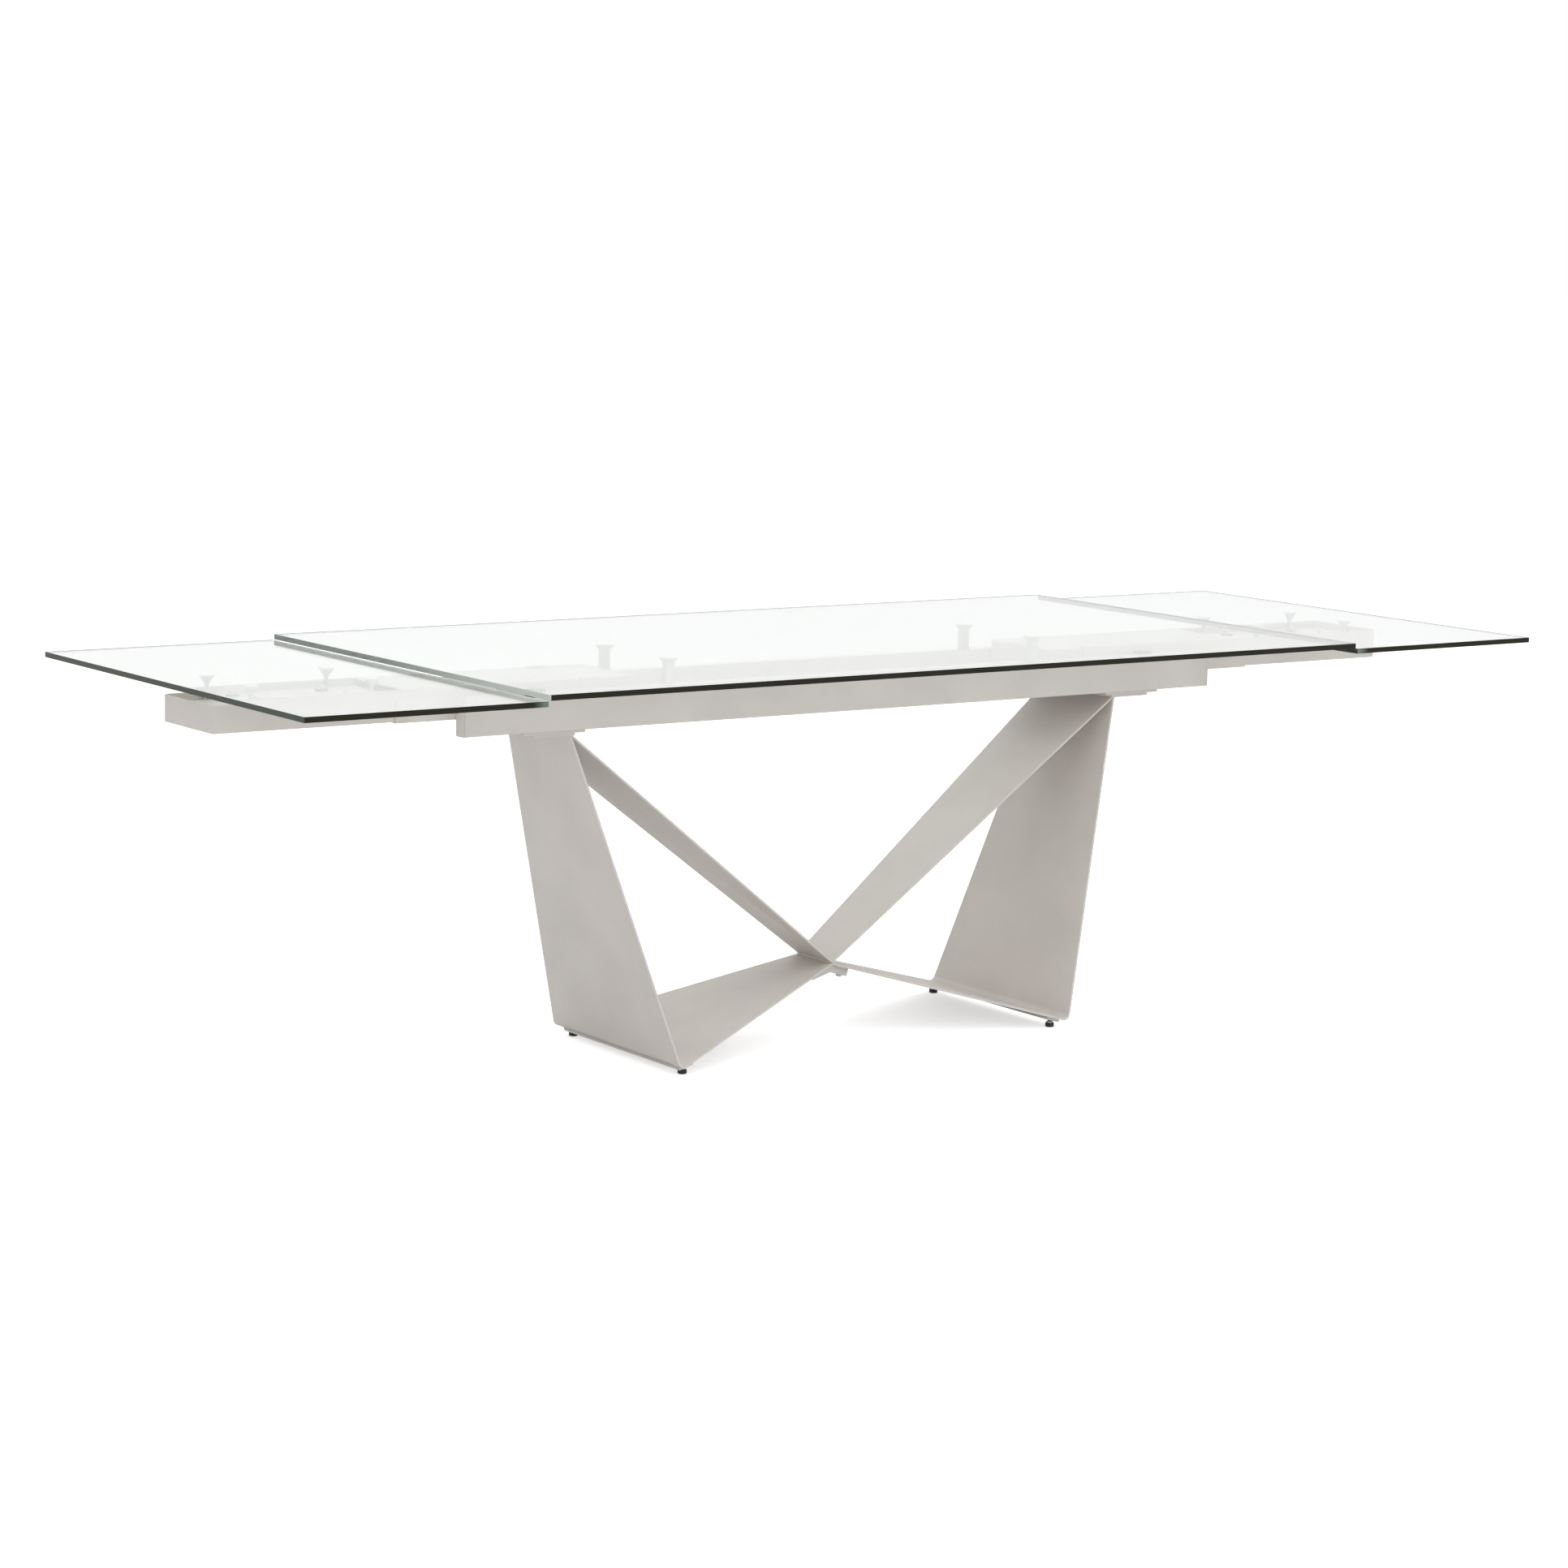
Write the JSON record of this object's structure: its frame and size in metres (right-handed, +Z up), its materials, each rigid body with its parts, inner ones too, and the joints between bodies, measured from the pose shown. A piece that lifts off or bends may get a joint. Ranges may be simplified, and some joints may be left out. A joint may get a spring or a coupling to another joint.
{
  "type": "extendable dining table",
  "caption": "Glass dining table on two triangular loops of bent steel plate, with glass leaves that slide out on telescopic trays and lift level with the top.",
  "frame": {"origin": "on the floor, under the middle of the table", "axes": "+X along the table towards the right leaf, +Y across it away from the viewer, +Z up"},
  "size_m": [2.745, 1, 0.7615],
  "materials": {
    "painted_steel": "satin powder coat, warm light grey",
    "bare_steel": "brushed",
    "dark_plastic": "matt dark grey",
    "clear_glass": "polished clear glass with dark green edges",
    "bonding_pad": "clear bonding disc"
  },
  "bodies": {
    "base_frame": {"left_leg_plate": "painted_steel", "right_leg_plate": "painted_steel", "left_strut_plate": "painted_steel", "right_strut_plate": "painted_steel", "centre_clamp_block": "painted_steel", "centre_bolts": "bare_steel", "left_foot_bar": "painted_steel", "right_foot_bar": "painted_steel", "floor_glides": "dark_plastic", "left_mounting_plate": "painted_steel", "right_mounting_plate": "painted_steel", "left_saddle_plate": "painted_steel", "right_saddle_plate": "painted_steel", "mounting_bolts": "bare_steel", "near_side_rail": "painted_steel", "far_side_rail": "painted_steel", "rail_end_caps": "painted_steel", "cross_members": "painted_steel", "glide_pads": "dark_plastic", "hold_down_blocks": "dark_plastic", "centre_posts": "bare_steel", "post_pads": "bonding_pad", "centre_glass": "clear_glass"},
    "left_sleeve_member": {"left_sleeve": "painted_steel"},
    "left_tray_member": {"left_tray": "painted_steel", "left_tray_cover": "painted_steel", "left_guide_pins": "bare_steel"},
    "left_leaf": {"left_lift_deck": "painted_steel", "left_deck_bushes": "dark_plastic", "left_cone_supports": "bare_steel", "left_support_pads": "bonding_pad", "left_leaf_glass": "clear_glass"},
    "right_sleeve_member": {"right_sleeve": "painted_steel"},
    "right_tray_member": {"right_tray": "painted_steel", "right_tray_cover": "painted_steel", "right_guide_pins": "bare_steel"},
    "right_leaf": {"right_lift_deck": "painted_steel", "right_deck_bushes": "dark_plastic", "right_cone_supports": "bare_steel", "right_support_pads": "bonding_pad", "right_leaf_glass": "clear_glass"}
  },
  "joints": [
    {"name": "left_sleeve_slide", "type": "slide", "parent": "base_frame", "child": "left_sleeve_member", "axis": [-1, 0, 0], "range_m": [-0.121, 0]},
    {"name": "left_tray_slide", "type": "slide", "parent": "left_sleeve_member", "child": "left_tray_member", "axis": [-1, 0, 0], "range_m": [-0.343, 0]},
    {"name": "left_leaf_lift", "type": "slide", "parent": "left_tray_member", "child": "left_leaf", "axis": [0, 0, 1], "range_m": [0, 0.0104]},
    {"name": "right_sleeve_slide", "type": "slide", "parent": "base_frame", "child": "right_sleeve_member", "axis": [1, 0, 0], "range_m": [-0.121, 0]},
    {"name": "right_tray_slide", "type": "slide", "parent": "right_sleeve_member", "child": "right_tray_member", "axis": [1, 0, 0], "range_m": [-0.343, 0]},
    {"name": "right_leaf_lift", "type": "slide", "parent": "right_tray_member", "child": "right_leaf", "axis": [0, 0, 1], "range_m": [0, 0.0104]}
  ]
}
